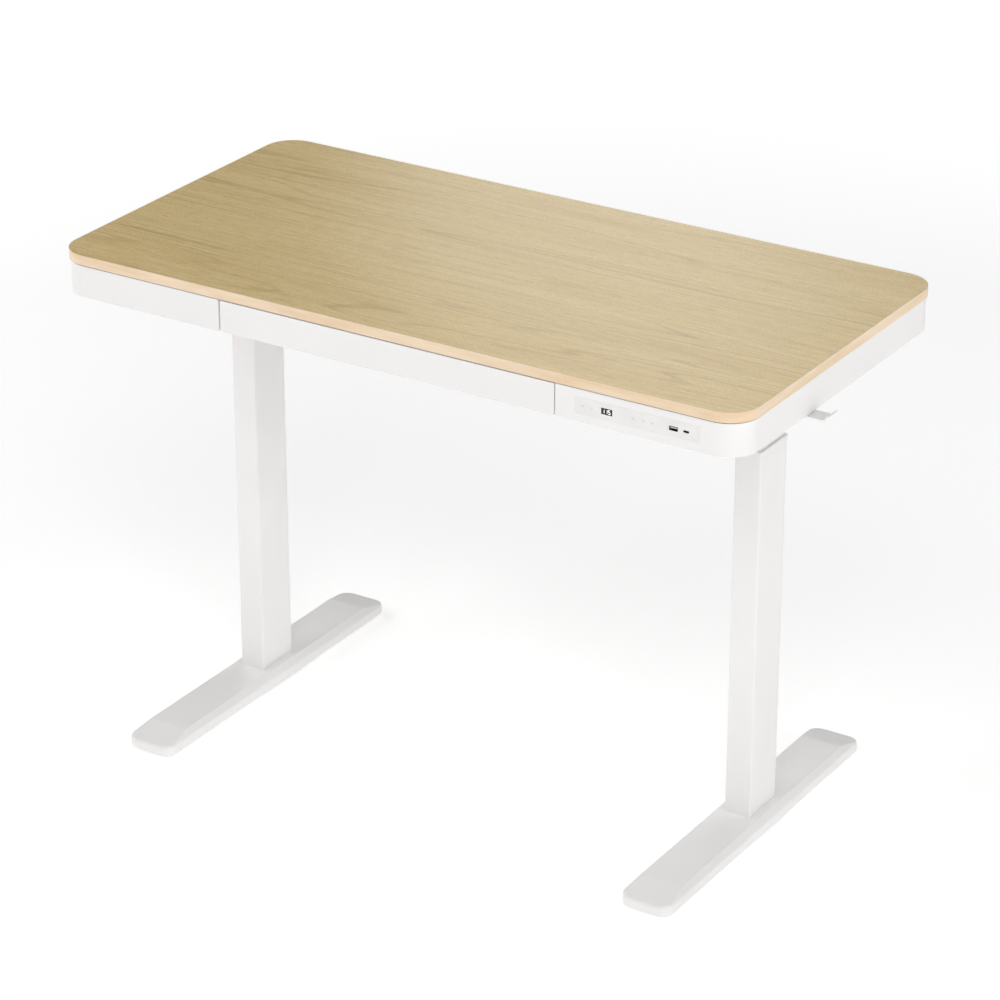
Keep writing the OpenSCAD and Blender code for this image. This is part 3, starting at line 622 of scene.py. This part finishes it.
def screw_body(bm, place, length):
    """A screw whose head starts at the origin and whose shank runs along +Z."""
    lathe(bm, place, ((1.9 * MM, 0.0), (2.9 * MM, 0.12 * MM), (3.6 * MM, 0.5 * MM), (4.0 * MM, 1.2 * MM),
                      (4.0 * MM, 2.0 * MM), (1.6 * MM, 2.0 * MM), (1.6 * MM, length)))


def screw_recess(bm, place, length):
    """The cross recess in the head of such a screw, drawn as a flat dark cross that paints the shade in it,
    whatever its length.
    """
    prism(bm, place, cross_outline(1.9 * MM, 0.42 * MM), -0.004 * MM, 0.3 * MM)


# Dark colour of the screw recesses: painted shade, the recesses are flat crosses and not hollows
RECESS_SHADE = moulded("recess_shade", (34, 34, 36), rough=0.6)


def make_screws(name, axis):
    """Screws for every separate piece of a node, with their heads at its low end along the axis."""
    turn = Matrix.Rotation(math.radians(90), 4, "Y") if axis == 0 else Matrix.Identity(4)
    found = islands(name, axis)

    def fill(shape):
        def build(bm):
            for centre, low, high in found:
                start = centre.copy()
                start[axis] = low
                slot_turn = Matrix.Rotation(start.x * 40 + start.y * 70, 4, "Z")
                shape(bm, Matrix.Translation(start) @ turn @ slot_turn, high - low)
        return build

    heads = new_piece(name + "_heads", fill(screw_body), MATERIALS["zinc_steel"], "desk")
    shade_smooth(heads)
    weighted_normals(heads)
    new_piece(name + "_recesses", fill(screw_recess), RECESS_SHADE, "desk")
    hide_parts(name)


make_screws("board_screws", 2)
make_screws("hook_screws", 0)

# ---- Details of the drive, seen from below ----


VENT_COUNT = 9
VENT_PITCH = 11 * MM
VENT_HALF_W = 2 * MM
VENT_HALF_L = 22 * MM


def box_frame(name):
    """The low corner, the high corner and the middle of a node's box."""
    low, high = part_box(name)
    return low, high, (low + high) / 2


def vent_slots(bm):
    """Vent slots across the underside of the control box, drawn as flat dark patches: painted shade of the
    openings.
    """
    low, _, middle = box_frame("control_box")
    for k in range(VENT_COUNT):
        x = middle.x + (k - (VENT_COUNT - 1) / 2) * VENT_PITCH
        outline = [(x + sx * VENT_HALF_W, middle.y + sy * VENT_HALF_L)
                   for sx, sy in ((-1, -1), (1, -1), (1, 1), (-1, 1))]
        prism(bm, Matrix.Identity(4), outline, low.z - 0.02 * MM, low.z + 0.5 * MM)


def screw_field(name, inset, radius):
    """Builders of flush screw heads and of their recesses, painted as flat dark crosses, at the lower corners
    of a node.
    """
    def places():
        low, high, middle = box_frame(name)
        for sx in (-1, 1):
            for sy in (-1, 1):
                yield Matrix.Translation((middle.x + sx * ((high.x - low.x) / 2 - inset),
                                          middle.y + sy * ((high.y - low.y) / 2 - inset), low.z))

    def heads(bm):
        for place in places():
            lathe(bm, place, ((radius * 0.7, -0.04 * MM), (radius, 0.1 * MM), (radius, 0.8 * MM)))

    # Flat dark crosses on the flush heads: painted shade of their recesses
    def recesses(bm):
        for place in places():
            prism(bm, place, cross_outline(radius * 0.55, radius * 0.14), -0.05 * MM, 0.2 * MM)
    return heads, recesses


# Near-black colour of the vent slots: painted shade, the slots are not cut open
VENT_SHADE = moulded("vent_shade", (14, 14, 15), rough=0.8)
new_piece("control_box_vents", vent_slots, VENT_SHADE, "desk")
for owner, inset, radius in (("control_box", 6 * MM, 2.4 * MM), ("gearbox_left", 6 * MM, 2.6 * MM),
                             ("gearbox_right", 6 * MM, 2.6 * MM)):
    heads, recesses = screw_field(owner, inset, radius)
    made = new_piece(owner + "_screws", heads, MATERIALS["zinc_steel"], "desk")
    shade_smooth(made)
    weighted_normals(made)
    new_piece(owner + "_screw_recesses", recesses, RECESS_SHADE, "desk")

# ---- Touch panel: lit digits and touch marks ----

PANEL_LOW, PANEL_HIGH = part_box("control_panel")
DISPLAY_LOW, DISPLAY_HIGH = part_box("display_window")
PANEL_Z = (PANEL_LOW.z + PANEL_HIGH.z) / 2
PANEL_FACE = PANEL_LOW.y
MARK_DEPTH = 0.06 * MM
DIGITS = "115"
# Lit bars of each digit: top, upper right, lower right, bottom, lower left, upper left, middle
LIT_BARS = {"1": (1, 2), "5": (0, 5, 6, 2, 3)}


def bar_outline(cx, cz, length, thick, upright):
    """A display bar with pointed ends."""
    half, point = length / 2, thick / 2
    flat = [(-half, 0), (-half + point, point), (half - point, point),
            (half, 0), (half - point, -point), (-half + point, -point)]
    if upright:
        flat = [(z, x) for x, z in flat]
    return [(cx + x, cz + z) for x, z in flat]


def digit_bars(bm):
    width, height = 3.1 * MM, 5.8 * MM
    pitch, thick, gap = 4.9 * MM, 0.8 * MM, 0.1 * MM
    middle_x = (DISPLAY_LOW.x + DISPLAY_HIGH.x) / 2 - 0.8 * MM
    places = {
        0: (0, height / 2, False), 1: (width / 2, height / 4, True), 2: (width / 2, -height / 4, True),
        3: (0, -height / 2, False), 4: (-width / 2, -height / 4, True), 5: (-width / 2, height / 4, True),
        6: (0, 0, False),
    }
    for i, digit in enumerate(DIGITS):
        cx = middle_x + (i - (len(DIGITS) - 1) / 2) * pitch
        for bar in LIT_BARS[digit]:
            x, z, upright = places[bar]
            length = (height / 2 if upright else width) - gap
            outline = bar_outline(cx + x, PANEL_Z + z, length, thick, upright)
            plate(bm, outline, PANEL_FACE, PANEL_FACE - MARK_DEPTH)


def chevron(bm, cx, cz, size, up):
    """An arrow head that points up or down."""
    thick = 0.32 * size
    sign = 1 if up else -1
    outline = [(-size / 2, -size / 4), (0, size / 4), (size / 2, -size / 4),
               (size / 2, -size / 4 - thick), (0, size / 4 - thick), (-size / 2, -size / 4 - thick)]
    placed = [(cx + x, cz + sign * (z + thick / 2)) for x, z in outline]
    plate(bm, placed, PANEL_FACE, PANEL_FACE - MARK_DEPTH)


def ring_mark(bm, cx, cz, outer, inner, steps=28):
    """A flat ring on the panel's face."""
    rows = []
    for y in (PANEL_FACE, PANEL_FACE - MARK_DEPTH):
        for r in (outer, inner):
            rows.append([bm.verts.new((cx + r * math.cos(2 * math.pi * k / steps), y,
                                       cz + r * math.sin(2 * math.pi * k / steps))) for k in range(steps)])
    for a, b in ((0, 1), (1, 3), (3, 2), (2, 0)):
        stitch(bm, rows[a], rows[b])


def touch_marks(bm):
    arrows_x = (-88.8 * MM, -73.4 * MM)
    memory_x = (-6.1 * MM, 10.2 * MM, 25.1 * MM)
    centre = (PANEL_LOW.x + PANEL_HIGH.x) / 2
    for x, up in zip(arrows_x, (True, False)):
        chevron(bm, centre + x, PANEL_Z, 3.6 * MM, up)
    for x in memory_x:
        ring_mark(bm, centre + x, PANEL_Z, 1.9 * MM, 1.35 * MM)
        ring_mark(bm, centre + x, PANEL_Z, 0.7 * MM, 0.05 * MM, steps=16)


new_piece("display_digits", digit_bars, DIGIT_WHITE, "desk")
new_piece("touch_marks", touch_marks, MARK_GREY, "desk")

# ---- Floor and light ----

FLOOR_SIZE = 60.0
FLOOR_GLOW = 0.36


def make_floor():
    s = Shader("studio_floor", rough=0.9, Emission_Color=(1, 1, 1, 1))
    length = s.node("ShaderNodeVectorMath", operation="LENGTH")
    s.link(s.coords, length.inputs[0])
    glow = s.range(length.outputs["Value"], 2.2, 6.0, FLOOR_GLOW, 0.8)
    s.link(glow, s.main.inputs["Emission Strength"])
    s.colour(s.mix(s.noise(0.8, detail=2), linear((247, 247, 247)), linear((244, 244, 244))))
    mesh = bpy.data.meshes.new("floor")
    half = FLOOR_SIZE / 2
    corners = [(-half, -half, 0), (half, -half, 0), (half, half, 0), (-half, half, 0)]
    mesh.from_pydata(corners, [], [(0, 1, 2, 3)])
    mesh.materials.append(s.material)
    floor = bpy.data.objects.new("floor", mesh)
    scene.collection.objects.link(floor)


def softbox(name, azimuth, elevation, distance, size, power, aim=(0, 0, 0.5), glossy_only=False):
    """A square area light that faces a point of the desk. Azimuth turns from the front towards +X."""
    data = bpy.data.lights.new(name, "AREA")
    data.shape = "SQUARE"
    data.size = size
    data.energy = power
    light = bpy.data.objects.new(name, data)
    scene.collection.objects.link(light)
    a, e = math.radians(azimuth), math.radians(elevation)
    away = Vector((math.sin(a) * math.cos(e), -math.cos(a) * math.cos(e), math.sin(e)))
    light.location = Vector(aim) + distance * away
    light.rotation_euler = (-away).to_track_quat("-Z", "Y").to_euler()
    light.visible_diffuse = not glossy_only


def make_world():
    world = bpy.data.worlds.new("studio")
    scene.world = world
    world.use_nodes = True
    background = world.node_tree.nodes["Background"]
    background.inputs["Color"].default_value = (1, 1, 1, 1)
    background.inputs["Strength"].default_value = 0.03


make_floor()
softbox("key", 40, 38, 6.0, 4.0, 150)
softbox("front_left", -45, 30, 6.0, 4.0, 98)
softbox("right_low", 88, 9, 7.0, 4.0, 86)
softbox("front_low", 12, 8, 7.0, 4.0, 32)
softbox("right", 90, 30, 6.0, 4.0, 43)
softbox("left", -90, 25, 6.0, 4.0, 109)
softbox("back", 180, 35, 6.0, 4.0, 79)
softbox("sheen", -151, 21.5, 2.2, 0.9, 6.2, aim=(0.2, -0.1, 0.8355), glossy_only=True)
make_world()
scene.view_settings.view_transform = "Standard"
